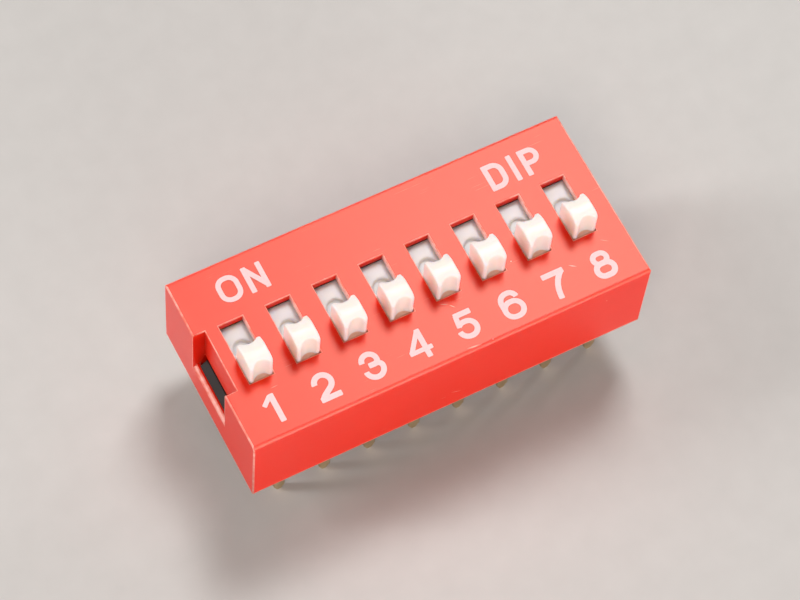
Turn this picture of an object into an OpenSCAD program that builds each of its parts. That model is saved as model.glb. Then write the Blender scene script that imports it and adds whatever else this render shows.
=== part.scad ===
// Slide DIP switch: a row of tiny on/off slide switches in one moulded body with two rows of
// flat pins. Millimetres. X runs along the row, +Y points to the ON side, +Z points up.
// The origin is on the circuit board's surface, at the middle of the pin pattern.

/* [Row] */
// Number of switches in the row
positions = 8; // [2:1:12]
// Distance from one switch to the next
pitch = 2.54; // [2.54:0.01:2.8]
// Distance between the two rows of pins
row_spacing = 7.62; // [7.5:0.01:7.7]

/* [Cover] */
// How far the cover's ends stand past the row of switch pitches, both ends together
end_margin = 1.48; // [1.44:0.02:1.6]
// Width across the cover
cover_w = 9.8; // [9.7:0.05:10.2]
// Height of the cover above the board
cover_h = 5.4; // [5.3:0.05:5.8]
// Thickness of the top wall that the slots go through
top_wall = 0.5; // [0.4:0.05:0.6]
// Thickness of the two long walls
side_wall = 0.7; // [0.6:0.05:0.75]
// Thickness of the two end walls
end_wall = 1.05; // [1:0.01:1.06]
// Radius of the long top edges
long_edge_r = 0.2; // [0.1:0.05:0.3]
// Radius of the short top edges and the upright corners
end_edge_r = 0.09; // [0.05:0.01:0.12]

/* [Slots and knobs] */
// Width of a slot
slot_w = 1.3; // [1.24:0.02:1.4]
// How far a slider travels from OFF to ON
travel = 1.8; // [1.6:0.05:1.8]
// Length of a knob, along its slot
knob_l = 1.56; // [1.5:0.02:1.6]
// Height of a knob above the cover's top
knob_h = 1.58; // [1.4:0.02:1.8]
// Radius of the crown over the top of a knob
crown_r = 1.25; // [1.15:0.05:1.6]
// Radius of the round corner between the crown and the knob's front
front_corner_r = 0.35; // [0.15:0.05:0.4]
// Radius of the round corner between the crown and the knob's back
back_corner_r = 0.25; // [0.1:0.05:0.35]
// Radius of the two finger scoops, front and back
scoop_r = 0.51; // [0.48:0.01:0.56]
// Depth of each scoop
scoop_depth = 0.26; // [0.2:0.01:0.3]
// Radius of the round dimples in the carriage, before and behind the knob
dimple_r = 0.48; // [0.4:0.02:0.5]
// Depth of those dimples
dimple_depth = 0.2; // [0.1:0.05:0.3]

/* [End notch and latches] */
// Width of the notch that marks the first switch's end
notch_w = 3.5; // [3:0.1:3.8]
// How far the notch cuts into the end wall
notch_depth = 0.65; // [0.6:0.01:0.68]
// Height of the latch bar left below the notch
bar_h = 2.1; // [2:0.05:2.2]
// Thickness of the latch bar
bar_t = 0.4; // [0.36:0.01:0.42]

/* [Terminals] */
// Thickness of the terminal strip
strip_t = 0.25; // [0.2:0.01:0.28]
// Width of a terminal inside the base
pad_w = 1.0; // [0.8:0.05:1.1]
// Width of a pin below the base
pin_w = 0.6; // [0.4:0.02:0.6]
// Length of a pin below the board's surface
pin_l = 3.4; // [2.8:0.1:3.6]

/* [Hidden] */
$fn = 48;
eps = 0.01;

cover_l = positions * pitch + end_margin;
inner_l = cover_l - 2 * end_wall;
inner_w = cover_w - 2 * side_wall;
ceiling = cover_h - top_wall;

// A knob stops just short of its slot's ends.
stop_gap = 0.03;
slot_l = travel + knob_l + 2 * stop_gap;
knob_w = slot_w - 0.05;
off_y = -travel / 2;

// Base: a floor that carries the terminals, with ribs up to the cover's ceiling between cells.
fit_gap = 0.05;
base_bottom = 0.3;
floor_z = 2.2;
base_w = inner_w - 2 * fit_gap;
base_l = inner_l - 2 * fit_gap;
cell_w = 1.9;
rib_t = pitch - cell_w;

// Latch: a hook on each end of the base sits on the bar, which is the foot of the end wall.
pocket_top = 2.6;
pocket_w = 3.5;
hook_w = 3.1;
hook_reach = 0.1;
hook_nose = 0.1;
bar_edge_r = 0.25;
undercut = 0.12;
undercut_top = 2.8;

// Terminals: a pad on the cell floor, a bend and a leg that narrows to the pin.
bend_in_r = 0.15;
bend_out_r = bend_in_r + strip_t;
leg_y = row_spacing / 2;
bend_y = leg_y + strip_t / 2 - bend_out_r;
bend_z = floor_z - bend_out_r;
number_pad_end = 0;
on_pad_end = 0.65;
shoulder_z = 0.6;
tip_l = 0.4;
tip_w = 0.22;

// Slider: a carriage plate that closes the slot, a saddle under it and the knob on top.
slide_gap = 0.03;
plate_top = ceiling - slide_gap;
plate_t = 0.7;
plate_w = cell_w - 2 * fit_gap;
plate_l = 5.26;
plate_end_r = 0.25;
saddle_l = 2.6;
saddle_bottom = 3.0;
peg = [0.6, 0.4];
peg_head = [0.9, 0.7];
peg_head_t = 0.08;
knob_corner_r = 0.1;
knob_edge_r = 0.1;
crown_centre = [-0.1, cover_h + knob_h - crown_r];

// Moving contact: a leaf whose two bowed arms press on the pads.
leaf_t = 0.12;
leaf_w = 1.3;
leaf_gap = 0.02;
leaf_touch_y = 1.1;
leaf_flat_y = 0.45;
leaf_tip = [1.42, 0.34];
finger_gap = 0.2;
finger_root_y = 0.62;
peg_gap = 0.03;

function switch_x(n) = (n - (positions + 1) / 2) * pitch;

// ---- helpers ----

// A flat shape drawn in Y and Z, run along X, centred.
module along_x(length) {
    rotate([90, 0, 90])
        linear_extrude(length, center = true)
            children();
}

// A flat shape drawn in X and Z, run along Y, centred.
module along_y(length) {
    rotate([90, 0, 0])
        linear_extrude(length, center = true)
            children();
}

// A box centred on X and Y that stands on z.
module block(size, z = 0) {
    translate([-size[0] / 2, -size[1] / 2, z])
        cube(size);
}

module rounded_rect(w, h, r) {
    square([w - 2 * r, h], center = true);
    square([w, h - 2 * r], center = true);
    for (x = [-1, 1], y = [-1, 1])
        translate([x * (w / 2 - r), y * (h / 2 - r)])
            circle(r);
}

// A rectangle on the X axis whose two upper corners are round.
module rounded_top(w, h, r) {
    translate([-w / 2, 0])
        square([w, h - r]);
    translate([-w / 2 + r, 0])
        square([w - 2 * r, h]);
    for (x = [-1, 1])
        translate([x * (w / 2 - r), h - r])
            circle(r);
}

// A strip of even thickness along a bent line.
module bent_strip(points, t) {
    for (i = [0:len(points) - 2]) {
        run = points[i + 1] - points[i];
        translate(points[i])
            rotate(atan2(run[1], run[0]))
                translate([0, -t / 2])
                    square([norm(run), t]);
    }
    for (i = [1:len(points) - 2])
        translate(points[i])
            circle(t / 2);
}

// ---- cover ----

module cover_outside() {
    intersection() {
        linear_extrude(cover_h)
            rounded_rect(cover_l, cover_w, end_edge_r);
        along_x(cover_l)
            rounded_top(cover_w, cover_h, long_edge_r);
        along_y(cover_w)
            rounded_top(cover_l, cover_h, end_edge_r);
    }
}

// The pocket inside an end wall that a hook of the base snaps into.
module latch_pocket() {
    x_in = inner_l / 2 - eps;
    x_bar = cover_l / 2 - bar_t;
    translate([x_in, -pocket_w / 2, -eps])
        cube([x_bar - x_in, pocket_w, pocket_top + eps]);
    translate([x_in, -pocket_w / 2, bar_h])
        cube([x_bar + undercut - x_in, pocket_w, undercut_top - bar_h]);
}

// The notch runs down the outside of the end wall and opens into the latch pocket.
// The bar left below it has a round outer edge.
module end_notch() {
    outer = -cover_l / 2;
    along_y(notch_w) {
        translate([outer - eps, bar_h])
            square([notch_depth + eps, cover_h - bar_h + eps]);
        difference() {
            translate([outer - eps, bar_h - bar_edge_r])
                square([bar_edge_r + eps, bar_edge_r + eps]);
            translate([outer + bar_edge_r, bar_h - bar_edge_r])
                circle(bar_edge_r);
        }
    }
}

module cover() {
    color("red")
        difference() {
            cover_outside();
            block([inner_l, inner_w, ceiling + eps], -eps);
            for (n = [1:positions])
                translate([switch_x(n), 0, 0])
                    block([slot_w, slot_l, top_wall + 2 * eps], ceiling - eps);
            end_notch();
            latch_pocket();
            mirror([1, 0, 0])
                latch_pocket();
        }
}

// ---- base ----

module hook() {
    root = base_l / 2 - eps;
    face = cover_l / 2 - bar_t - fit_gap;
    nose = cover_l / 2 - bar_t + hook_reach;
    shelf = cover_l / 2 - notch_depth;
    top = pocket_top - fit_gap;
    along_y(hook_w)
        polygon([
            [root, 0.9], [face - 0.2, 0.9], [face, 1.2], [face, bar_h],
            [nose, bar_h], [nose, bar_h + hook_nose], [shelf, top], [root, top]
        ]);
}

// Room in the base for one terminal, drawn for the +Y side.
module terminal_seat(pad_end) {
    block_y = leg_y - strip_t / 2;
    translate([-pad_w / 2, pad_end, floor_z - strip_t])
        cube([pad_w, bend_y - pad_end, strip_t + eps]);
    translate([-pad_w / 2, bend_y, bend_z])
        cube([pad_w, bend_out_r, bend_out_r + eps]);
    translate([-pad_w / 2, block_y, shoulder_z])
        cube([pad_w, strip_t, bend_z]);
    translate([-pin_w / 2, block_y, 0])
        cube([pin_w, strip_t, shoulder_z + eps]);
}

module base() {
    color("#2b2a2a")
        difference() {
            union() {
                block([base_l, base_w, floor_z - base_bottom], base_bottom);
                for (n = [1:positions - 1])
                    translate([switch_x(n) + pitch / 2, 0, 0])
                        block([rib_t, base_w, ceiling - base_bottom], base_bottom);
                hook();
                mirror([1, 0, 0])
                    hook();
            }
            for (n = [1:positions])
                translate([switch_x(n), 0, 0]) {
                    terminal_seat(on_pad_end);
                    mirror([0, 1, 0])
                        terminal_seat(-number_pad_end);
                }
        }
}

// ---- terminals ----

// Side view of the bent strip, for the +Y side.
module terminal_side(pad_end) {
    translate([pad_end, floor_z - strip_t])
        square([bend_y - pad_end + eps, strip_t]);
    intersection() {
        translate([bend_y, bend_z])
            difference() {
                circle(bend_out_r);
                circle(bend_in_r);
            }
        translate([bend_y, bend_z])
            square(2 * bend_out_r);
    }
    translate([leg_y - strip_t / 2, -pin_l])
        square([strip_t, pin_l + bend_z + eps]);
}

// Front view: the wide part, its shoulders and the pin with its tapered tip.
module terminal_front() {
    polygon([
        [-pad_w / 2, floor_z + eps], [-pad_w / 2, shoulder_z], [-pin_w / 2, shoulder_z],
        [-pin_w / 2, tip_l - pin_l], [-tip_w / 2, -pin_l], [tip_w / 2, -pin_l],
        [pin_w / 2, tip_l - pin_l], [pin_w / 2, shoulder_z], [pad_w / 2, shoulder_z],
        [pad_w / 2, floor_z + eps]
    ]);
}

module terminal(n, pad_end) {
    color("gold")
        translate([switch_x(n), 0, 0])
            intersection() {
                along_x(pad_w)
                    terminal_side(pad_end);
                along_y(row_spacing + 2)
                    terminal_front();
            }
}

module on_terminal(n) {
    terminal(n, on_pad_end);
}

module number_terminal(n) {
    mirror([0, 1, 0])
        terminal(n, -number_pad_end);
}

// ---- sliders ----

// Plan of a knob: a block with a finger scoop in its front and back.
module knob_plan() {
    scoop_y = knob_l / 2 + scoop_r - scoop_depth;
    difference() {
        rounded_rect(knob_w, knob_l, knob_corner_r);
        for (side = [-1, 1])
            translate([0, side * scoop_y])
                circle(scoop_r);
    }
}

// Centre of a corner of radius r that touches the crown and the upright face at y = face.
function corner_centre(face, r) =
    let (
        y = face - sign(face) * r,
        reach = crown_r - r,
        aside = y - crown_centre[0]
    )
    [y, crown_centre[1] + sqrt(reach * reach - aside * aside)];

// Side view of a knob: upright front and back under a crown, with a round corner at each end.
module knob_side() {
    corner_r = [front_corner_r, back_corner_r];
    corners = [
        corner_centre(-knob_l / 2, front_corner_r),
        corner_centre(knob_l / 2, back_corner_r)
    ];
    spokes = [for (corner = corners) crown_r / norm(corner - crown_centre) * (corner - crown_centre)];
    base_z = plate_top - eps;
    polygon([
        [-knob_l / 2, base_z], [-knob_l / 2, corners[0][1]], corners[0], crown_centre + spokes[0],
        crown_centre + spokes[1], corners[1], [knob_l / 2, corners[1][1]], [knob_l / 2, base_z]
    ]);
    for (i = [0, 1])
        translate(corners[i])
            circle(corner_r[i]);
    intersection() {
        translate(crown_centre)
            circle(crown_r, $fn = 96);
        polygon([crown_centre, crown_centre + 2 * spokes[1], crown_centre + 2 * spokes[0]]);
    }
}

module knob() {
    top = cover_h + knob_h;
    intersection() {
        linear_extrude(top + eps)
            knob_plan();
        along_x(2 * knob_w)
            knob_side();
        along_y(2 * knob_l)
            rounded_top(knob_w, top, knob_edge_r);
    }
}

// A plate that closes the slot, with a round dimple before and behind the knob, on a saddle.
module carriage() {
    difference() {
        translate([0, 0, plate_top - plate_t])
            linear_extrude(plate_t)
                rounded_rect(plate_w, plate_l, plate_end_r);
        for (side = [-1, 1])
            translate([0, side * (knob_l / 2 + dimple_r), plate_top - dimple_depth])
                cylinder(r = dimple_r, h = 2 * dimple_depth);
    }
    block([plate_w, saddle_l, plate_top - plate_t - saddle_bottom + eps], saddle_bottom);
    block([peg[0], peg[1], leaf_t + 2 * eps], saddle_bottom - leaf_t - eps);
    block([peg_head[0], peg_head[1], peg_head_t], saddle_bottom - leaf_t - peg_head_t);
}

module slider(n) {
    color("white")
        translate([switch_x(n), off_y, 0]) {
            carriage();
            knob();
        }
}

// ---- moving contacts ----

module leaf_side() {
    low = floor_z + leaf_gap + leaf_t / 2;
    high = saddle_bottom - leaf_t / 2;
    bent_strip([
        [-leaf_tip[0], low + leaf_tip[1]], [-leaf_touch_y, low], [-leaf_flat_y, high],
        [leaf_flat_y, high], [leaf_touch_y, low], [leaf_tip[0], low + leaf_tip[1]]
    ], leaf_t);
}

module moving_contact(n) {
    finger_l = leaf_tip[0] + leaf_t;
    color("#d9b45a")
        translate([switch_x(n), off_y, 0])
            difference() {
                along_x(leaf_w)
                    leaf_side();
                block([peg[0] + 2 * peg_gap, peg[1] + 2 * peg_gap, cover_h]);
                for (side = [-1, 1])
                    translate([0, side * (finger_root_y + finger_l / 2), 0])
                        block([finger_gap, finger_l, cover_h]);
            }
}

cover();
base();
for (n = [1:positions]) {
    slider(n);
    moving_contact(n);
    number_terminal(n);
    on_terminal(n);
}
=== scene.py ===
# %% [markdown]
# # A slide DIP switch
# A DIP switch is a row of tiny slide switches in one moulded body. The construction comes in
# ready made: a red cover, a black base, white sliders, sprung contact leaves and bent terminals,
# all at their real size. This lesson gives those pieces their finish: soft moulded edges,
# plastics and metals that behave like the real ones, and the printed signs on the cover.
# Everything is in metres, with the origin on the circuit board's surface, so most sizes below
# are a number of millimetres times MM.

# %% Load the construction
from math import cos, pi, radians, sin

import bmesh
import bpy
from mathutils import Matrix, Quaternion, Vector


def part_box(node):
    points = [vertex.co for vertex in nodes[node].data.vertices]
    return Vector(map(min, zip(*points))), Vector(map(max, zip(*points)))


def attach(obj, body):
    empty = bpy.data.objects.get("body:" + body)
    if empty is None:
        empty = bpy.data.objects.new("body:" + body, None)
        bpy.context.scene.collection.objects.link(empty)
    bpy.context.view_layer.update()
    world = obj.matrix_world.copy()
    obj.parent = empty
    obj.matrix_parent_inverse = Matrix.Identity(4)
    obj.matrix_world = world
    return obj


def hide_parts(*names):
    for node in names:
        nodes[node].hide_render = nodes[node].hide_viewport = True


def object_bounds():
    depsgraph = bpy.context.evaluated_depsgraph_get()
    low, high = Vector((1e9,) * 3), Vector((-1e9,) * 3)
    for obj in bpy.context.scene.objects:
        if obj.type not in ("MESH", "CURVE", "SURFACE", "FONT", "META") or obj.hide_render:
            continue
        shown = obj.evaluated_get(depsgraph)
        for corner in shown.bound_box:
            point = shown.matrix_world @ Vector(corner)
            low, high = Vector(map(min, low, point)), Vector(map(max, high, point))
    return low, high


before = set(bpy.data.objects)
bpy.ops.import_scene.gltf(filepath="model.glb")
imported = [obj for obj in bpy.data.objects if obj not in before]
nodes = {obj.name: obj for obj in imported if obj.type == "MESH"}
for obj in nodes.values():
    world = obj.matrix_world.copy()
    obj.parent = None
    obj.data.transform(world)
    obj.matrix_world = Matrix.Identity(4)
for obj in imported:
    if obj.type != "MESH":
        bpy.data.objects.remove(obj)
cad_low, cad_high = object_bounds()
MM = 0.001
print(f"{len(nodes)} pieces, {[round(v / MM, 2) for v in cad_high - cad_low]} mm overall")

# %% [markdown]
# ## Places on the object
# The cover's top face carries the print, so its height is needed again and again. It is read
# from the cover itself, as is the floor's height from the pins' tips, so the finish follows the
# construction if it changes.

# %% Measure the places
cover_low, cover_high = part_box("cover")
COVER_TOP = cover_high.z
FLOOR_Z = cad_low.z
print(f"cover top at {COVER_TOP / MM:.2f} mm, floor at {FLOOR_Z / MM:.2f} mm")

# %% [markdown]
# ## Objects
# In Blender an object is only a place and a name: its mesh, lens or lamp is a data block of its
# own, and nothing shows until the object is linked into the scene. One small function does both
# steps for everything that is made here.

# %% Put something in the scene
def new_object(name, data):
    """An object at the origin that holds the data, linked into the scene."""
    made = bpy.data.objects.new(name, data)
    bpy.context.scene.collection.objects.link(made)
    return made


# %% [markdown]
# ## The camera
# A small part is best seen from far off through a long lens, so that its edges stay nearly
# parallel. The view is given in everyday terms: how far round, how high, how far away, and how
# much the camera leans. A quaternion that looks back along the view turns the camera, and a
# second turn about that line gives the lean. Blender takes the lens and the sensor's width in
# millimetres, and all else about a camera in metres.

# %% Place the camera
VIEW_AZIMUTH = radians(-33.53)
VIEW_ELEVATION = radians(63.48)
VIEW_LEAN = radians(6.75)
VIEW_DISTANCE = 156.37 * MM
AIM = Vector((-0.985 * MM, -0.888 * MM, COVER_TOP))
FULL_FRAME = 36
LONG_LENS = 144.54

back = Vector((
    sin(VIEW_AZIMUTH) * cos(VIEW_ELEVATION),
    -cos(VIEW_AZIMUTH) * cos(VIEW_ELEVATION),
    sin(VIEW_ELEVATION),
))
camera_data = bpy.data.cameras.new("camera")
camera_data.sensor_width = FULL_FRAME
camera_data.lens = LONG_LENS
camera_data.clip_start = 10 * MM
camera_data.clip_end = 2000 * MM
camera = new_object("camera", camera_data)
camera.location = AIM + back * VIEW_DISTANCE
camera.rotation_mode = "QUATERNION"
camera.rotation_quaternion = back.to_track_quat("Z", "Y") @ Quaternion((0, 0, 1), VIEW_LEAN)
bpy.context.scene.camera = camera
print(f"camera at {[round(v / MM, 1) for v in camera.location]} mm")

# %% [markdown]
# ## Colours and nodes
# Colours are written as sRGB hex, the way a colour picker shows them, and shaders want linear
# values, so one function turns one into the other. A second small function adds a shader node
# and joins it up in one call, which keeps the materials short enough to read.

# %% Two helpers for materials
def colour(hex_code):
    """A shader's linear colour from an sRGB hex code."""
    channels = [int(hex_code[i:i + 2], 16) / 255 for i in (1, 3, 5)]
    linear = [c / 12.92 if c <= 0.04045 else ((c + 0.055) / 1.055) ** 2.4 for c in channels]
    return (*linear, 1.0)


def add_node(tree, kind, inputs=None, **settings):
    """Adds a node, sets its settings, and gives each input a value or a link."""
    node = tree.nodes.new(kind)
    for name, value in settings.items():
        setattr(node, name, value)
    for name, value in (inputs or {}).items():
        if isinstance(value, bpy.types.NodeSocket):
            tree.links.new(value, node.inputs[name])
        else:
            node.inputs[name].default_value = value
    return node


print("a mid grey is", [round(c, 3) for c in colour("#808080")[:3]])

# %% [markdown]
# ## A material to start from
# Every finish here is a Principled shader with constants on its own sockets and a pattern or two
# joined to it. One function makes that start. The patterns read Object coordinates, which are
# metres on these pieces, so a pattern's scale is one over the size of its features: `per(0.1)`
# is the scale that makes features a tenth of a millimetre across. Most of the surfaces also have
# a fine grain or waviness, which is a noise turned into a bump, so that has a function too.

# %% Start a material
def start_material(name, base, roughness, **constants):
    """A new material, its node tree, its shader and the object's own coordinates."""
    material = bpy.data.materials.new(name)
    material.use_nodes = True
    tree = material.node_tree
    shader = tree.nodes["Principled BSDF"]
    shader.inputs["Base Color"].default_value = colour(base)
    shader.inputs["Roughness"].default_value = roughness
    for socket, value in constants.items():
        shader.inputs[socket.replace("_", " ")].default_value = value
    place = tree.nodes.new("ShaderNodeTexCoord").outputs["Object"]
    return material, tree, shader, place


def per(size_mm):
    """The scale of a pattern whose features are that many millimetres across."""
    return 1 / (size_mm * MM)


def give_grain(tree, shader, place, size_mm, depth_mm, strength, detail=2):
    """Joins a bump to the shader, with bumps of that width and depth."""
    grain = add_node(tree, "ShaderNodeTexNoise", {
        "Vector": place, "Scale": per(size_mm), "Detail": detail,
    })
    bump = add_node(tree, "ShaderNodeBump", {
        "Height": grain.outputs["Fac"], "Distance": depth_mm * MM, "Strength": strength,
    })
    tree.links.new(bump.outputs["Normal"], shader.inputs["Normal"])


print("the scale for features of 0.1 mm is", round(per(0.1)))

# %% [markdown]
# ## Moulded red nylon
# The cover is glass-filled nylon, moulded in a mould whose faces were spark eroded to a fine
# satin. That gives the eye three things: a strong red that is a little uneven where the melt
# flowed, a fine even grain that breaks up the highlights, and a broad soft sheen. Nylon also
# lets a little red light through, so shadows on it have soft glowing edges, and a short
# subsurface radius gives that. The real grain is about 0.03 mm across, too fine to show, so it
# is drawn at 0.09 mm.

# %% Red nylon
red_nylon, tree, shader, place = start_material(
    "moulded_red_nylon", "#EF260D", 0.32, IOR=1.53, Specular_IOR_Level=0.3,
    Specular_Tint=colour("#FFF3DC"), Subsurface_Weight=1.0,
    Subsurface_Radius=(1.0, 0.3, 0.15), Subsurface_Scale=0.35 * MM)
flow = add_node(tree, "ShaderNodeTexNoise", {"Vector": place, "Scale": per(3), "Detail": 3})
tone = add_node(tree, "ShaderNodeMixRGB", {
    "Fac": flow.outputs["Fac"], "Color1": colour("#EA220B"), "Color2": colour("#F4290F"),
})
give_grain(tree, shader, place, size_mm=0.09, depth_mm=0.004, strength=0.6)
print(red_nylon.name, "has", len(tree.nodes), "nodes")

# %% [markdown]
# ## Hair scratches
# Handling leaves a few pale hair scratches on the red. They could be drawn one by one, but no
# one counts them, so they are noise: stretched until its blobs are hairs along the cover, and
# cut off near its top so that only a few are left. A Mapping node scales before it turns, so the
# turn here doesn't slant the hairs and only chooses which ones there are. A second, slower noise
# keeps them to patches.

# %% Scratch the red nylon
HAIR_LENGTH = 5
HAIR_WIDTH = 0.05
HAIR_DEPTH = 0.3
HAIR_CHOICE = radians(-24)

stretched = add_node(tree, "ShaderNodeMapping", {
    "Vector": place, "Rotation": (0, 0, HAIR_CHOICE),
    "Scale": (per(HAIR_LENGTH), per(HAIR_WIDTH), per(HAIR_DEPTH)),
})
hairs = add_node(tree, "ShaderNodeTexNoise", {"Vector": stretched.outputs["Vector"], "Scale": 1})
patches = add_node(tree, "ShaderNodeTexNoise", {"Vector": place, "Scale": per(1.6)})
scratched = add_node(tree, "ShaderNodeMath", {
    0: hairs.outputs["Fac"], 1: patches.outputs["Fac"],
}, operation="MULTIPLY")
scratch = add_node(tree, "ShaderNodeMapRange", {
    "Value": scratched.outputs["Value"], "From Min": 0.44, "From Max": 0.5, "To Max": 0.35,
})
worn = add_node(tree, "ShaderNodeMixRGB", {
    "Fac": scratch.outputs["Result"], "Color1": tone.outputs["Color"],
    "Color2": colour("#FF8A78"),
})
print("hairs are about", HAIR_LENGTH, "mm long and", HAIR_WIDTH, "mm wide")

# %% [markdown]
# ## Nicks and specks
# The plainer marks have places of their own. Each is a spherical gradient squeezed into a short
# ellipse, so its ends fade, and a Mapping node of the Texture type takes the ellipse's centre,
# turn and half lengths as they are. All of them add up in one chain of Multiply Add nodes, which
# starts from nothing. A gradient is full only at its very centre, so each one is made somewhat
# stronger than its mark, and the sum is clamped.

# %% Nick the red nylon
NICK_GAIN = 1.6
NICKS = [  # x, y and z in mm, turn in degrees, length and width in mm, strength
    (0.85, -2.05, 5.4, (0, 0, -24), 0.5, 0.06, 0.5),
    (1.15, -2.3, 5.4, (0, 0, -49), 0.38, 0.06, 0.55),
    (4.9, -1.4, 5.4, (0, 0, 0), 0.09, 0.09, 0.7),
    (7.5, -2.95, 5.4, (0, 0, -36), 0.46, 0.07, 0.6),
    (9.6, -2.4, 5.4, (0, 0, -35), 0.5, 0.05, 0.3),
    (1.1, -4.7, 5.4, (0, 0, -6), 0.85, 0.12, 0.45),
    (2.1, -4.75, 5.4, (0, 0, 0), 0.09, 0.09, 0.6),
    (-8.55, -2.35, 5.4, (0, 0, 2), 0.45, 0.05, 0.3),
    (8.5, -4.9, 4.2, (0, 0, 0), 0.09, 0.09, 0.6),
    (0.3, -4.9, 1.35, (0, 27, 0), 0.75, 0.07, 0.55),
    (-0.4, -4.9, 1.25, (0, 8, 0), 0.4, 0.05, 0.3),
]

marked = 0
for x, y, z, turn, length, width, strength in NICKS:
    spot = add_node(tree, "ShaderNodeMapping", {
        "Vector": place, "Location": Vector((x, y, z)) * MM,
        "Rotation": [radians(angle) for angle in turn],
        "Scale": (length * MM / 2, width * MM / 2, width * MM / 2),
    }, vector_type="TEXTURE")
    nick = add_node(tree, "ShaderNodeTexGradient", {
        "Vector": spot.outputs["Vector"],
    }, gradient_type="SPHERICAL")
    marked = add_node(tree, "ShaderNodeMath", {
        0: nick.outputs["Fac"], 1: strength * NICK_GAIN, 2: marked,
    }, operation="MULTIPLY_ADD", use_clamp=True).outputs["Value"]
nicked = add_node(tree, "ShaderNodeMixRGB", {
    "Fac": marked, "Color1": worn.outputs["Color"], "Color2": colour("#FFD3C8"),
})
print(len(NICKS), "nicks and specks on the cover")

# %% [markdown]
# ## Painted highlights on the red
# Two places are painted pale all along, for light that catches them. One is a thin line at the
# foot of the walls, a painted highlight along the bottom edge: a Compare node gives one wherever
# the height is within reach of the line's middle, and nothing elsewhere. The other is the round
# where the top turns down into the long walls, painted paler as the sheen that runs over it. It
# is masked by height and by distance from the middle of the cover, each fading in over a tenth
# of a millimetre, and the two masks are multiplied.

# %% Paint highlights on the red nylon
LOW_HIGHLIGHT_HEIGHT = 0.07 * MM
LOW_HIGHLIGHT_REACH = 0.04 * MM
ROUND_STARTS = 0.2 * MM
ROUND_FULL = 0.1 * MM

where = add_node(tree, "ShaderNodeSeparateXYZ", {"Vector": place})
# Painted highlight: a thin pale line along the bottom edge of the walls, for the light that edge
# catches.
low_highlight_band = add_node(tree, "ShaderNodeMath", {
    0: where.outputs["Z"], 1: LOW_HIGHLIGHT_HEIGHT, 2: LOW_HIGHLIGHT_REACH,
}, operation="COMPARE")
low_painted_highlight = add_node(tree, "ShaderNodeMixRGB", {
    "Fac": low_highlight_band.outputs["Value"], "Color1": nicked.outputs["Color"], "Color2": colour("#FC7C6B"),
})
aside = add_node(tree, "ShaderNodeMath", {0: where.outputs["Y"]}, operation="ABSOLUTE")
past_top = add_node(tree, "ShaderNodeMapRange", {
    "Value": aside.outputs["Value"], "From Min": cover_high.y - ROUND_STARTS,
    "From Max": cover_high.y - ROUND_FULL,
})
above_wall = add_node(tree, "ShaderNodeMapRange", {
    "Value": where.outputs["Z"], "From Min": COVER_TOP - ROUND_STARTS,
    "From Max": COVER_TOP - ROUND_FULL, "To Max": 0.3,
})
on_round = add_node(tree, "ShaderNodeMath", {
    0: past_top.outputs["Result"], 1: above_wall.outputs["Result"],
}, operation="MULTIPLY")
# Painted sheen: the round between the top and the long walls is painted paler, for the sheen the
# top's light leaves on it.
round_painted_sheen = add_node(tree, "ShaderNodeMixRGB", {
    "Fac": on_round.outputs["Value"], "Color1": low_painted_highlight.outputs["Color"],
    "Color2": colour("#FFB0A0"),
})
tree.links.new(round_painted_sheen.outputs["Color"], shader.inputs["Base Color"])
print(red_nylon.name, "now has", len(tree.nodes), "nodes")

# %% [markdown]
# ## Painted highlights on edges and slot walls
# The cover's edges are polished and painted pale, so they draw a light line round every face: the
# pale tone is a painted highlight. Inside the slots the side walls are painted pale pink, for the
# light that falls on them from the left and from the white sliders. Both are the cover's plastic,
# so both are one recipe with different tones: a slow noise lets the colour wander between two of
# them.

# %% Nylon with painted light
def painted_light_nylon(name, dark, light, roughness, shine):
    """Red nylon whose colour wanders between two pale tones of painted light along an edge."""
    material, tree, shader, place = start_material(
        name, dark, roughness, IOR=1.53, Specular_IOR_Level=shine)
    wander = add_node(tree, "ShaderNodeTexNoise", {
        "Vector": place, "Scale": per(0.35), "Detail": 3,
    })
    paler = add_node(tree, "ShaderNodeMapRange", {
        "Value": wander.outputs["Fac"], "From Min": 0.35, "From Max": 0.65,
    })
    tone = add_node(tree, "ShaderNodeMixRGB", {
        "Fac": paler.outputs["Result"], "Color1": colour(dark), "Color2": colour(light),
    })
    tree.links.new(tone.outputs["Color"], shader.inputs["Base Color"])
    return material


# Painted highlight on the edges, and painted light on the slots' side walls, from these pale
# tones.
edge_highlight_nylon = painted_light_nylon("edge_painted_highlight_nylon", "#F77A66", "#FFB0A2", roughness=0.32, shine=0.4)
slot_wall_light_nylon = painted_light_nylon("slot_wall_painted_light_nylon", "#FAB8AD", "#FCD0C9", roughness=0.3, shine=0.5)
print(edge_highlight_nylon.name, "and", slot_wall_light_nylon.name, "are ready")

# %% [markdown]
# ## Moulded black nylon
# The base is the same plastic with soot in it. Hardly any colour is left to vary, so its look is
# in its surface: a duller satin than the cover's, with the pale bloom that glass fibre leaves
# where the melt met the mould wall, as slow streaks. Both tones of the bloom are warmed to a
# reddish brown, which is painted red light bounced from the cover.

# %% Black nylon
black_nylon, tree, shader, place = start_material(
    "moulded_black_nylon", "#211F1E", 0.5, IOR=1.53, Specular_IOR_Level=0.2)
streaks = add_node(tree, "ShaderNodeTexNoise", {
    "Vector": place, "Scale": per(1.2), "Detail": 4, "Distortion": 1.5,
})
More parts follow.
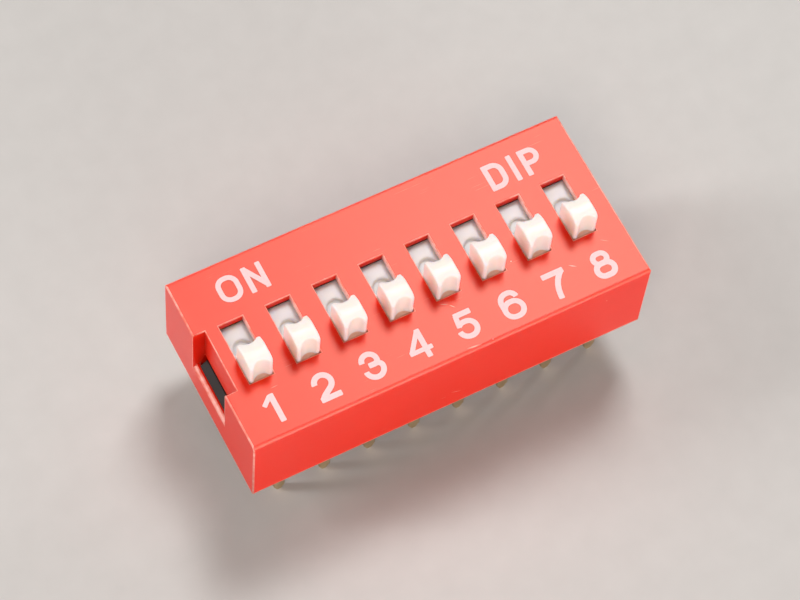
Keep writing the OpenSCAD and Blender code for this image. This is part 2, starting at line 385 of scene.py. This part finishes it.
# Partly painted light: the streaks are the real bloom, and their reddish brown is painted red
# light from the cover.
bloom_and_red_bounce = add_node(tree, "ShaderNodeMixRGB", {
    "Fac": streaks.outputs["Fac"], "Color1": colour("#1D1615"), "Color2": colour("#322725"),
})
tree.links.new(bloom_and_red_bounce.outputs["Color"], shader.inputs["Base Color"])
sheen = add_node(tree, "ShaderNodeMapRange", {
    "Value": streaks.outputs["Fac"], "To Min": 0.42, "To Max": 0.6,
})
tree.links.new(sheen.outputs["Result"], shader.inputs["Roughness"])
give_grain(tree, shader, place, size_mm=0.1, depth_mm=0.005, strength=0.6)
print(black_nylon.name, "has", len(tree.nodes), "nodes")

# %% [markdown]
# ## Moulded white acetal
# Sliders are acetal, which slides well and looks milky: light goes in a little way, spreads and
# comes out warm, so thin horns and hollows glow instead of going grey. Subsurface scattering
# does that, with a radius of about a millimetre. Down in the slots the plastic is painted greyer,
# which is painted shade for the depth it sits at, a mask on height. The surface comes off a
# polished mould, so it is smooth, with only a faint slow waviness.

# %% White acetal
SHADE_STARTS = COVER_TOP - 0.2 * MM
SHADE_FULL = COVER_TOP - 0.5 * MM

white_acetal, tree, shader, place = start_material(
    "moulded_white_acetal", "#F0ECE4", 0.34, IOR=1.48, Specular_IOR_Level=0.3,
    Subsurface_Weight=1.0, Subsurface_Radius=(1.0, 0.8, 0.6), Subsurface_Scale=1.0 * MM)
milk = add_node(tree, "ShaderNodeTexNoise", {"Vector": place, "Scale": per(0.8), "Detail": 2})
cream = add_node(tree, "ShaderNodeMixRGB", {
    "Fac": milk.outputs["Fac"], "Color1": colour("#EAE6DE"), "Color2": colour("#F2EFE9"),
})
where = add_node(tree, "ShaderNodeSeparateXYZ", {"Vector": place})
sunk = add_node(tree, "ShaderNodeMapRange", {
    "Value": where.outputs["Z"], "From Min": SHADE_FULL, "From Max": SHADE_STARTS,
    "To Min": 1, "To Max": 0,
})
# Painted shade: the plastic below the cover's top is greyed for the shade down in the slots.
painted_slot_shade = add_node(tree, "ShaderNodeMixRGB", {
    "Fac": sunk.outputs["Result"], "Color1": cream.outputs["Color"], "Color2": colour("#DDDAD8"),
})
give_grain(tree, shader, place, size_mm=0.25, depth_mm=0.003, strength=0.4, detail=1)
print(white_acetal.name, "has", len(tree.nodes), "nodes")

# %% [markdown]
# ## Painted light on the foot
# The front scoop of each knob ends in a small foot, which is painted a warm tan: painted red
# light, bounced into the narrow well between the knob and the slot's red walls. The painted light
# is a
# mask with three sides: it begins at the back of the foot, ends in front of it and stops just
# under the cover's top. Each side is a ramp from plain to full, and the ramps are multiplied in
# one chain, which starts from one.

# %% Paint light on the foot
BOUNCE_SIDES = [  # which way it is measured, where the plastic is plain, where the painted light is full
    ("Y", -1.36 * MM, -1.44 * MM),
    ("Y", -1.85 * MM, -1.75 * MM),
    ("Z", COVER_TOP - 0.01 * MM, COVER_TOP - 0.04 * MM),
]

bounce_mask = 1
for way, plain, full in BOUNCE_SIDES:
    side = add_node(tree, "ShaderNodeMapRange", {
        "Value": where.outputs[way], "From Min": plain, "From Max": full,
    })
    bounce_mask = add_node(tree, "ShaderNodeMath", {
        0: side.outputs["Result"], 1: bounce_mask,
    }, operation="MULTIPLY").outputs["Value"]
# Painted light: the foot is tinted warm tan for the red light bounced into the well in front of
# the knob.
foot_bounce_light = add_node(tree, "ShaderNodeMixRGB", {
    "Fac": bounce_mask, "Color1": painted_slot_shade.outputs["Color"], "Color2": colour("#F6C3A8"),
})
tree.links.new(foot_bounce_light.outputs["Color"], shader.inputs["Base Color"])
print(white_acetal.name, "now has", len(tree.nodes), "nodes")

# %% [markdown]
# ## Gold plate and dulled strip
# Contacts and terminals are stamped from phosphor bronze strip. The sprung leaves are plated with
# gold, bright and a little streaked along the rolling direction. The terminals have a thinner
# plating that has dulled: its colour wanders, and blotches of it are rougher. Both are metals,
# so their colour is the colour of their reflection and the IOR stays as it is.

# %% Gold plate
gold_plate, tree, shader, place = start_material(
    "gold_plated_bronze", "#E3B566", 0.24, Metallic=1)
rolled = add_node(tree, "ShaderNodeMapping", {
    "Vector": place, "Scale": (per(0.06), per(2), per(0.06)),
})
lines = add_node(tree, "ShaderNodeTexNoise", {"Vector": rolled.outputs["Vector"], "Scale": 1})
streak = add_node(tree, "ShaderNodeMapRange", {
    "Value": lines.outputs["Fac"], "To Min": 0.16, "To Max": 0.36,
})
tree.links.new(streak.outputs["Result"], shader.inputs["Roughness"])
warmth = add_node(tree, "ShaderNodeMixRGB", {
    "Fac": lines.outputs["Fac"], "Color1": colour("#DDAA55"), "Color2": colour("#EBC47C"),
})
tree.links.new(warmth.outputs["Color"], shader.inputs["Base Color"])
print(gold_plate.name, "has", len(tree.nodes), "nodes")

# %% Dulled terminal strip
pale_strip, tree, shader, place = start_material(
    "dulled_plated_strip", "#C6A878", 0.34, Metallic=1)
blotches = add_node(tree, "ShaderNodeTexNoise", {"Vector": place, "Scale": per(0.5), "Detail": 4})
patina = add_node(tree, "ShaderNodeMixRGB", {
    "Fac": blotches.outputs["Fac"], "Color1": colour("#BDA273"), "Color2": colour("#E3D2AE"),
})
tree.links.new(patina.outputs["Color"], shader.inputs["Base Color"])
dull = add_node(tree, "ShaderNodeMapRange", {
    "Value": blotches.outputs["Fac"], "To Min": 0.22, "To Max": 0.5,
})
tree.links.new(dull.outputs["Result"], shader.inputs["Roughness"])
give_grain(tree, shader, place, size_mm=0.08, depth_mm=0.003, strength=0.6)
print(pale_strip.name, "has", len(tree.nodes), "nodes")

# %% [markdown]
# ## Printing ink
# The signs are pad printed in white ink. The coat is thin, so the red below tints it pink, more
# so in the tiny patches where it lies thinnest.

# %% Printing ink
pad_ink, tree, shader, place = start_material("pad_printed_ink", "#F7D6D8", 0.55)
film = add_node(tree, "ShaderNodeTexNoise", {"Vector": place, "Scale": per(0.12), "Detail": 3})
thickness = add_node(tree, "ShaderNodeMapRange", {
    "Value": film.outputs["Fac"], "From Min": 0.3, "From Max": 0.55,
})
tinted = add_node(tree, "ShaderNodeMixRGB", {
    "Fac": thickness.outputs["Result"], "Color1": colour("#F1C6C8"),
    "Color2": colour("#F4CECF"),
})
tree.links.new(tinted.outputs["Color"], shader.inputs["Base Color"])
print(pad_ink.name, "has", len(tree.nodes), "nodes")

# %% [markdown]
# ## Softened edges
# Nothing moulded or stamped has a perfectly sharp edge, and the thin bright line along a rounded
# edge is what makes a small part look solid. The construction's meshes are loose triangles that
# must stay as they are, so each piece gets a copy that stands for it, with its triangles joined.
# Edges that stand out get a bevel weight and a Bevel modifier rounds just those: an inner corner
# is left alone. Weighted Normal then keeps the flats looking flat beside the round.

# %% Join a copy's triangles
TOUCHING = 0.0001 * MM


def joined_copy(name):
    """The mesh of one CAD piece with its triangles joined, ready to be worked on."""
    shell = bmesh.new()
    shell.from_mesh(nodes[name].data)
    bmesh.ops.remove_doubles(shell, verts=shell.verts, dist=TOUCHING)
    return shell


def stand_for(name, mesh, material, body):
    """Makes the mesh a piece that rides on a body and is shown instead of the CAD piece."""
    mesh.materials.clear()
    mesh.materials.append(material)
    piece = new_object(f"{name}_finish", mesh)
    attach(piece, body)
    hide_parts(name)
    return piece


shell = joined_copy("cover")
print(len(shell.verts), "corners on the cover")
shell.free()

# %% Round the edges that stand out
SHARP_ANGLE = radians(28)
SHORT_EDGE = 0.05 * MM


def softened(name, material, body, width_mm, segments):
    """A copy of one CAD piece with its outer edges rounded to that width."""
    shell = joined_copy(name)
    weights = shell.edges.layers.float.new("bevel_weight_edge")
    for edge in shell.edges:
        stands_out = edge.is_convex and edge.calc_face_angle(0) > SHARP_ANGLE
        if stands_out and edge.calc_length() > SHORT_EDGE:
            edge[weights] = 1
    mesh = bpy.data.meshes.new(f"{name}_finish")
    shell.to_mesh(mesh)
    shell.free()
    mesh.shade_smooth()
    mesh.set_sharp_from_angle(angle=SHARP_ANGLE)
    piece = stand_for(name, mesh, material, body)
    rounding = piece.modifiers.new("rounding", "BEVEL")
    rounding.width = width_mm * MM
    rounding.segments = segments
    rounding.limit_method = "WEIGHT"
    rounding.use_clamp_overlap = False
    piece.modifiers.new("flat_faces", "WEIGHTED_NORMAL").keep_sharp = True
    return piece


cover = softened("cover", red_nylon, "housing", width_mm=0.05, segments=3)
print(len(cover.data.polygons), "faces on the cover before its edges are rounded")

# %% [markdown]
# ## Painted highlights on the cover
# The cover is one moulding with three finishes. The Bevel modifier can give the faces it makes a
# material of their own, which puts the edges' painted highlight exactly on the rounds. The slots'
# side walls, painted pale for the light on them, are found by where they are and which way they
# face. The construction's own rounds, at the upright corners and along the ends, are found by the
# way they lean towards an end, and they get the same painted highlight as the edges.

# %% Choose each face's finish
SWITCHES = range(1, 9)
EDGE_HIGHLIGHT_INDEX = 1
WALL_LIGHT_INDEX = 2
SLOT_REACH = 0.75 * MM
SLOT_END = 1.9 * MM
SLOT_DEPTH = 0.6 * MM
SIDEWAYS = 0.5
SLANTED = 0.1

cover.data.materials.append(edge_highlight_nylon)
cover.data.materials.append(slot_wall_light_nylon)
cover.modifiers["rounding"].material = EDGE_HIGHLIGHT_INDEX
slot_centres = [sum(corner.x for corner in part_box(f"slider_{n}")) / 2 for n in SWITCHES]
for face in cover.data.polygons:
    beside_slot = min(abs(face.center.x - centre) for centre in slot_centres) < SLOT_REACH
    in_slot = abs(face.center.y) < SLOT_END and face.center.z > COVER_TOP - SLOT_DEPTH
    if beside_slot and in_slot and abs(face.normal.x) > SIDEWAYS:
        face.material_index = WALL_LIGHT_INDEX
    elif abs(face.normal.x) > SLANTED and max(face.normal.z, abs(face.normal.y)) > SLANTED:
        face.material_index = EDGE_HIGHLIGHT_INDEX
for index, material in enumerate(cover.data.materials):
    faces = sum(face.material_index == index for face in cover.data.polygons)
    print(faces, "faces of", material.name)

# %% [markdown]
# ## Keep the cover to its size
# Where three rounded edges meet, the bevel's corner patch bulges a few thousandths of a
# millimetre past the flats, and the cover has to stay the size it was drawn. So the modifiers
# are applied by taking the mesh that they give, and each of its points is held inside the box
# that the construction's cover fills.

# %% Apply the rounding and hold it in its box
graph = bpy.context.evaluated_depsgraph_get()
rounded = bpy.data.meshes.new_from_object(cover.evaluated_get(graph))
for vert in rounded.vertices:
    vert.co = [min(max(along, low), high)
               for along, low, high in zip(vert.co, cover_low, cover_high)]
cover.modifiers.clear()
cover.data = rounded
print(len(rounded.polygons), "faces on the finished cover")

# %% [markdown]
# ## Base, contacts and terminals
# These need only their edges rounded. Stamped strip has a tighter round than a moulding has, so
# two segments are enough for it.

# %% Round the other pieces
softened("base", black_nylon, "housing", width_mm=0.03, segments=3)
for n in SWITCHES:
    softened(f"moving_contact_{n}", gold_plate, f"switch_{n}",
             width_mm=0.015, segments=2)
    for row in ("number", "on"):
        softened(f"{row}_terminal_{n}", pale_strip, "housing",
                 width_mm=0.02, segments=2)

# %% [markdown]
# ## Melted sliders
# A slider is softer still: its knob has horns, hollows and a crown that run into each other, and
# an edge bevel would pinch where they meet. So its copy is remade of small even cubes, which is
# what a voxel Remesh does, and smoothed, as if it had been warmed until its edges gave way. The
# modifier can't go below a ten-thousandth of a unit, so the copy is worked on in millimetres as
# if they were metres, and brought back to size at the end. The foot of the front scoop is a cube
# put in before the remesh, which joins whatever overlaps into one skin.

# %% Melt the sliders
FOOT_Y = -1.53 * MM
FOOT_Z = COVER_TOP - 0.31 * MM
FOOT_SIZE = (0.9 * MM, 0.28 * MM, 0.5 * MM)


def melted(name, material, body, voxel_mm, rounds):
    """A copy of one CAD slider remade of even cubes and smoothed that many times."""
    shell = joined_copy(name)
    low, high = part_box(name)
    bmesh.ops.create_cube(shell, size=1, matrix=(
        Matrix.Translation(((low.x + high.x) / 2, FOOT_Y, FOOT_Z))
        @ Matrix.Diagonal((*FOOT_SIZE, 1))))
    bmesh.ops.scale(shell, verts=shell.verts, vec=(1 / MM, 1 / MM, 1 / MM))
    mesh = bpy.data.meshes.new("wax")
    shell.to_mesh(mesh)
    shell.free()
    wax = new_object("wax", mesh)
    cubes = wax.modifiers.new("cubes", "REMESH")
    cubes.mode = "VOXEL"
    cubes.voxel_size = voxel_mm
    smoothing = wax.modifiers.new("smoothing", "SMOOTH")
    smoothing.factor = 0.5
    smoothing.iterations = rounds
    graph = bpy.context.evaluated_depsgraph_get()
    result = bpy.data.meshes.new_from_object(wax.evaluated_get(graph))
    bpy.data.objects.remove(wax)
    result.transform(Matrix.Scale(MM, 4))
    result.name = f"{name}_finish"
    result.shade_smooth()
    return stand_for(name, result, material, body)


for n in SWITCHES:
    slider = melted(f"slider_{n}", white_acetal, f"switch_{n}",
                    voxel_mm=0.04, rounds=4)
print(len(slider.data.polygons), "faces on each slider")

# %% [markdown]
# ## A pen for the signs
# The cover reads ON and DIP along its far side and 1 to 8 along its near side. A printing plate
# is engraved with strokes of even width, so the signs are drawn here the same way: the nib is
# one edge, and dragging it leaves a strip of faces. A straight run extrudes the edge and moves
# the new one. A turn spins it about a centre beside the pen, to the left for a positive angle and
# to the right for a negative one. After each move the new nib is the edge that lies square to
# the way ahead.

# %% The pen
TURN_STEP = 9
SQUARE = 0.99


def drag(ink, x, y, heading, nib_mm, moves):
    """Drags a nib from (x, y), in mm, through runs (length,) and turns (radius, angle)."""
    facing = radians(heading)
    ahead = Vector((cos(facing), sin(facing), 0))
    left = Vector((-sin(facing), cos(facing), 0))
    start = Vector((x, y, 0)) * MM
    half = left * nib_mm * MM / 2
    nib = ink.edges.new((ink.verts.new(start - half), ink.verts.new(start + half)))
    for move in moves:
        if len(move) == 1:
            swept = bmesh.ops.extrude_edge_only(ink, edges=[nib])["geom"]
            ends = [item for item in swept if isinstance(item, bmesh.types.BMVert)]
            bmesh.ops.translate(ink, verts=ends, vec=ahead * move[0] * MM)
        else:
            radius, angle = move
            middle = (nib.verts[0].co + nib.verts[1].co) / 2
            centre = middle + left * radius * MM * (1 if angle > 0 else -1)
            steps = max(2, round(abs(angle) / TURN_STEP))
            swept = bmesh.ops.spin(
                ink, geom=[nib, *nib.verts], cent=centre, axis=(0, 0, 1),
                angle=radians(angle), steps=steps, use_merge=False)["geom_last"]
            turn = Matrix.Rotation(radians(angle), 3, "Z")
            ahead, left = turn @ ahead, turn @ left
        nib = next(item for item in swept if isinstance(item, bmesh.types.BMEdge)
                   and abs((item.verts[0].co - item.verts[1].co).normalized().dot(left)) > SQUARE)


print("a half turn takes", round(180 / TURN_STEP), "steps")

# %% [markdown]
# ## The strokes of each sign
# Each stroke is where the pen starts, which way it faces in degrees from the baseline, how wide
# its nib is, and its moves. Letters and numbers are about 1.5 mm tall, from a plain engraver's
# alphabet with even strokes.

# %% Strokes
SIGNS = {
    "O": [(1.09, 0.56, 90, 0.26, [(0.36,), (0.42, 90), (0.11,), (0.42, 90), (0.36,), (0.42, 90),
                                  (0.11,), (0.42, 90)])],
    "N": [(0.15, 0, 90, 0.27, [(1.48,)]), (0.92, 0, 90, 0.26, [(1.48,)]),
          (0.16, 1.37, -58, 0.26, [(1.46,)])],
    "D": [(0.155, 0, 90, 0.28, [(1.5,)]),
          (0.1, 1.36, 0, 0.28, [(0.42,), (0.42, -90), (0.38,), (0.42, -90), (0.42,)])],
    "I": [(0.15, 0, 90, 0.27, [(1.51,)])],
    "P": [(0.15, 0, 90, 0.28, [(1.5,)]),
          (0.1, 1.36, 0, 0.27, [(0.45,), (0.34, -180), (0.45,)])],
    "1": [(0.59, 0, 90, 0.29, [(1.58,)]), (0.05, 1.06, 42, 0.24, [(0.64,)])],
    "2": [(0.18, 1.0, 88, 0.29, [(0.425, -234), (0.5,), (0.5, 30)]),
          (0.12, 0.155, 0, 0.29, [(1.11,)])],
    "3": [(0.165, 1.06, 88, 0.28, [(0.39, -180), (0.22, -90), (0.3,)]),
          (0.165, 0.59, -90, 0.28, [(0.45, 180), (0.24, 90), (0.38,)])],
    "4": [(0.9, 0, 90, 0.28, [(1.61,)]), (0.02, 0.49, 0, 0.24, [(1.23,)]),
          (0.1, 0.47, 53, 0.24, [(1.3,)])],
    "5": [(0.24, 1.46, 0, 0.29, [(0.91,)]), (0.35, 1.5, -98, 0.26, [(0.7,)]),
          (0.165, 0.6, -85, 0.28, [(0.44, 85), (0.06,), (0.41, 180), (0.1,), (0.42, 50)])],
    "6": [(1.08, 0.56, 90, 0.28, [(0.42, 90), (0.1,), (0.42, 180), (0.1,), (0.42, 90)]),
          (1.01, 1.14, 95, 0.28, [(0.36, 85), (0.06,), (0.45, 90), (0.46,)])],
    "7": [(0.02, 1.41, 0, 0.29, [(1.2,)]), (0.44, 0, 84, 0.29, [(0.25,), (1.7, -46)])],
    "8": [(0.97, 1.14, 90, 0.28, [(0.28, 90), (0.15,), (0.28, 180), (0.15,), (0.28, 90)]),
          (1.08, 0.51, 90, 0.3, [(0.35, 90), (0.22,), (0.35, 180), (0.22,), (0.35, 90)])],
}
print(len(SIGNS), "signs,", sum(len(strokes) for strokes in SIGNS.values()), "strokes")

# %% [markdown]
# ## Print the signs
# Each sign becomes one thin piece of ink. Its open stroke ends get slightly round corners, which
# a vertex bevel gives. Strokes that cross would flicker at one height, so each lies a hair higher
# than the one before. A Solidify modifier gives the ink its thickness downwards, so that it
# reaches a little way into the cover, and the sign is placed by its lower left corner.

# %% Print a sign
INK_HEIGHT = 0.008 * MM
INK_THICKNESS = 0.012 * MM
STROKE_LIFT = 0.0015 * MM
MEETING = 0.0005 * MM
END_ROUND = 0.05 * MM


def print_sign(name, sign, x, y):
    """Prints one sign on the cover, with its lower left corner at (x, y), in mm."""
    ink = bmesh.new()
    for step, stroke in enumerate(SIGNS[sign]):
        before = set(ink.verts)
        drag(ink, *stroke)
        fresh = [vert for vert in ink.verts if vert not in before]
        bmesh.ops.translate(ink, verts=fresh, vec=(0, 0, STROKE_LIFT * step))
    bmesh.ops.remove_doubles(ink, verts=ink.verts, dist=MEETING)
    corners = [vert for vert in ink.verts if len(vert.link_edges) == 2]
    bmesh.ops.bevel(
        ink, geom=corners, offset=END_ROUND, offset_type="OFFSET", segments=3, profile=0.5,
        affect="VERTICES", material=-1)
    bmesh.ops.recalc_face_normals(ink, faces=ink.faces)
    for face in ink.faces:
        if face.normal.z < 0:
            face.normal_flip()
    bmesh.ops.translate(ink, verts=ink.verts, vec=(x * MM, y * MM, COVER_TOP + INK_HEIGHT))
    mesh = bpy.data.meshes.new(name)
    ink.to_mesh(mesh)
    ink.free()
    mesh.materials.append(pad_ink)
    piece = new_object(name, mesh)
    coat = piece.modifiers.new("coat", "SOLIDIFY")
    coat.thickness = INK_THICKNESS
    coat.offset = -1
    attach(piece, "housing")


print(f"the ink is {INK_THICKNESS / MM:.3f} mm thick")

# %% Print them all
LETTERS = {"O": (-8.79, 2.56), "N": (-7.28, 2.56), "D": (5.95, 2.38), "I": (7.35, 2.38),
           "P": (7.98, 2.38)}
NUMBERS = {"1": (-9.51, -4.18), "2": (-6.98, -4.19), "3": (-4.4, -4.22), "4": (-1.94, -4.24),
           "5": (0.67, -4.32), "6": (3.21, -4.32), "7": (5.76, -4.3), "8": (8.29, -4.32)}

for kind, places in (("letter", LETTERS), ("number", NUMBERS)):
    for sign, (x, y) in places.items():
        print_sign(f"{kind}_{sign}", sign, x, y)
print(len(LETTERS), "letters and", len(NUMBERS), "numbers printed")

# %% [markdown]
# ## The floor
# The floor is plain pale paper, which the pins' tips stand on. Its fibres only just show, as a
# slow wander between two tones.

# %% Floor
bpy.ops.mesh.primitive_plane_add(size=1200 * MM, location=(0, 0, FLOOR_Z))
floor = bpy.context.object
floor.name = "floor"
floor_paper, tree, shader, place = start_material("pale_floor_paper", "#C6C4C1", 0.85)
fibres = add_node(tree, "ShaderNodeTexNoise", {"Vector": place, "Scale": per(1.5), "Detail": 4})
paper = add_node(tree, "ShaderNodeMixRGB", {
    "Fac": fibres.outputs["Fac"], "Color1": colour("#C2C0BD"), "Color2": colour("#CAC8C5"),
})
tree.links.new(paper.outputs["Color"], shader.inputs["Base Color"])
floor.data.materials.append(floor_paper)
print(f"{floor.name} of {floor_paper.name} at {FLOOR_Z / MM:.2f} mm")

# %% [markdown]
# ## Light
# The light is a plain soft studio. A softbox over and behind the switch is mirrored in the
# cover's top as a soft sheen, stronger to the right. A fill over the front left softens the
# knobs' shadows and lights their near sides. Low lights at the left, the right and the front
# reach the walls, and a dim world fills the rest. A lamp's energy is in watts, so a larger one
# of the same energy looks dimmer: giving its radiance and working out the energy from its area
# keeps size and brightness apart. The levels are set so that a colour renders about as it is
# written.

# %% Lights
LAMP_DISTANCE = 500 * MM
WORLD_STRENGTH = 0.08


def softbox(name, direction, width, height, radiance, tint="#FFFFFF", lean=0):
    """A lamp that faces the origin, as bright as that radiance all over, turned by lean."""
    data = bpy.data.lights.new(name, "AREA")
    data.shape = "RECTANGLE"
    data.size = width
    data.size_y = height
    data.energy = radiance * pi * width * height
    data.color = colour(tint)[:3]
    lamp = new_object(name, data)
    aim = Vector(direction).normalized()
    lamp.location = aim * LAMP_DISTANCE
    lamp.rotation_mode = "QUATERNION"
    lamp.rotation_quaternion = aim.to_track_quat("Z", "Y") @ Quaternion((0, 0, 1), radians(lean))
    print(f"{name}: {data.energy:.2f} W")


world = bpy.data.worlds.new("studio")
world.use_nodes = True
sky = world.node_tree.nodes["Background"]
sky.inputs["Color"].default_value = colour("#FFFFFF")
sky.inputs["Strength"].default_value = WORLD_STRENGTH
bpy.context.scene.world = world
softbox("back_softbox", (0.32, 0.36, 0.88), width=0.15, height=0.15, radiance=21.5)
softbox("left_strip", (-0.84, 0.372, 0.4), width=0.08, height=0.4, radiance=13, lean=16)
softbox("right_softbox", (0.9, 0.37, 0.24), width=0.08, height=0.12, radiance=12)
softbox("front_strip", (0.12, -0.98, 0.14), width=0.3, height=0.12, radiance=13)
softbox("front_fill", (-0.38, -0.48, 0.79), width=0.18, height=0.18, radiance=8, tint="#FFEFE4")
bpy.context.scene.view_settings.view_transform = "Standard"
